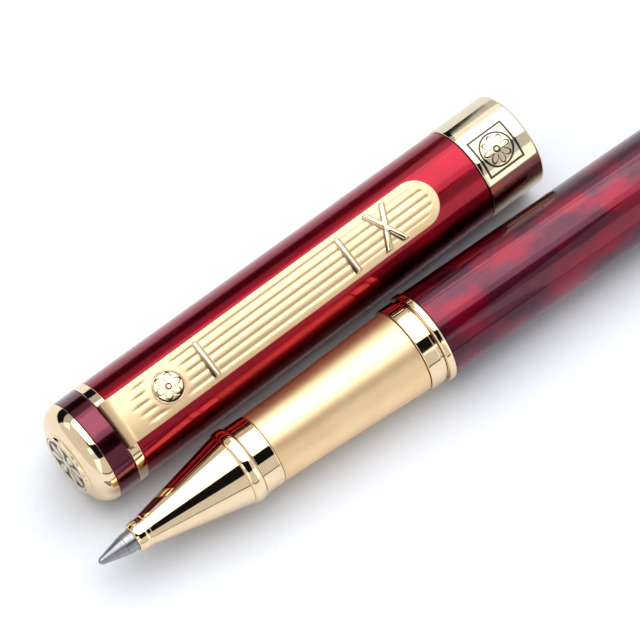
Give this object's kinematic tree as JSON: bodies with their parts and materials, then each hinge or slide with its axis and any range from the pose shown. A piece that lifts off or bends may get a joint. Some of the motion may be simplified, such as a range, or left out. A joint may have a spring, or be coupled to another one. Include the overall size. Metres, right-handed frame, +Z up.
{
  "type": "rollerball pen",
  "caption": "Rollerball pen lying open beside its cap, with a screw-in grip section, a spring-backed refill and a sprung pocket clip.",
  "frame": {"origin": "centre of the bottom of the bounding box, on the table that the pen and its cap lie on", "axes": "+X along the pen from its writing point to the barrel's end, +Z up from the table, +Y from the pen towards its cap"},
  "size_m": [0.118, 0.0256, 0.0143],
  "materials": {
    "polished_gold": "polished pale gold plating",
    "satin_gold": "bead-blasted satin gold plating",
    "clip_gold": "matte gold plating with polished relief",
    "red_lacquer": "translucent red gloss lacquer on brass",
    "dark_lacquer": "dark red gloss lacquer on brass",
    "marbled_lacquer": "marbled red and black gloss lacquer on brass",
    "brass": "turned",
    "steel": "turned",
    "carbide": "polished",
    "white_plastic": "moulded",
    "black_plastic": "moulded",
    "ink_fibre": "felted fibre"
  },
  "bodies": {
    "barrel": {"barrel_tube": "marbled_lacquer", "barrel_thread_bush": "brass", "barrel_end_ring": "polished_gold", "barrel_end_cap": "marbled_lacquer", "refill_spring": "steel"},
    "trim_ring": {"trim_ring": "polished_gold"},
    "section": {"nose_cone": "polished_gold", "front_ring": "polished_gold", "grip_sleeve": "satin_gold", "snap_ring": "polished_gold", "section_core": "brass"},
    "refill": {"refill_tip": "steel", "refill_collar": "white_plastic", "refill_tube": "steel", "refill_reservoir": "ink_fibre", "refill_feed_rod": "ink_fibre", "refill_end_plug": "white_plastic"},
    "ball": {"refill_ball": "carbide"},
    "cap": {"cap_finial": "polished_gold", "finial_disc": "polished_gold", "cap_head_band": "dark_lacquer", "clip_ring": "polished_gold", "cap_top_plug": "brass", "cap_tube": "red_lacquer", "cap_lip_band": "polished_gold", "cap_inner_sleeve": "black_plastic"},
    "clip": {"clip_blade": "clip_gold"}
  },
  "joints": [
    {"name": "section_unscrew", "type": "hinge", "parent": "barrel", "child": "trim_ring", "pos_m": [-0.01476, -0.00707, 0.00572], "axis": [-1, 0, 0], "range_deg": [0, 2160]},
    {"name": "section_travel", "type": "slide", "parent": "trim_ring", "child": "section", "axis": [-1, 0, 0], "range_m": [0, 0.0046]},
    {"name": "refill_give", "type": "slide", "parent": "section", "child": "refill", "axis": [1, 0, 0], "range_m": [0, 0.001], "stiffness_N_per_m": 400, "springref_m": -0.002, "deforming": ["refill_spring"]},
    {"name": "ball_roll", "type": "hinge", "parent": "refill", "child": "ball", "pos_m": [-0.05865, -0.00707, 0.00572], "axis": [0, 1, 0], "continuous": true},
    {"name": "cap_draw", "type": "slide", "parent": "barrel", "child": "cap", "axis": [-0.9993, -0.0384, 0.0046], "range_m": [0, 0.065]},
    {"name": "clip_flex", "type": "hinge", "parent": "cap", "child": "clip", "pos_m": [-0.04942, 0.00263, 0.01188], "axis": [0.0349, -0.9471, -0.319], "range_deg": [0, 3], "stiffness_Nm_per_rad": 2}
  ],
  "couplings": [
    {"joint": "section_travel", "follows": "section_unscrew", "m_per_rad": 0.00011937}
  ]
}
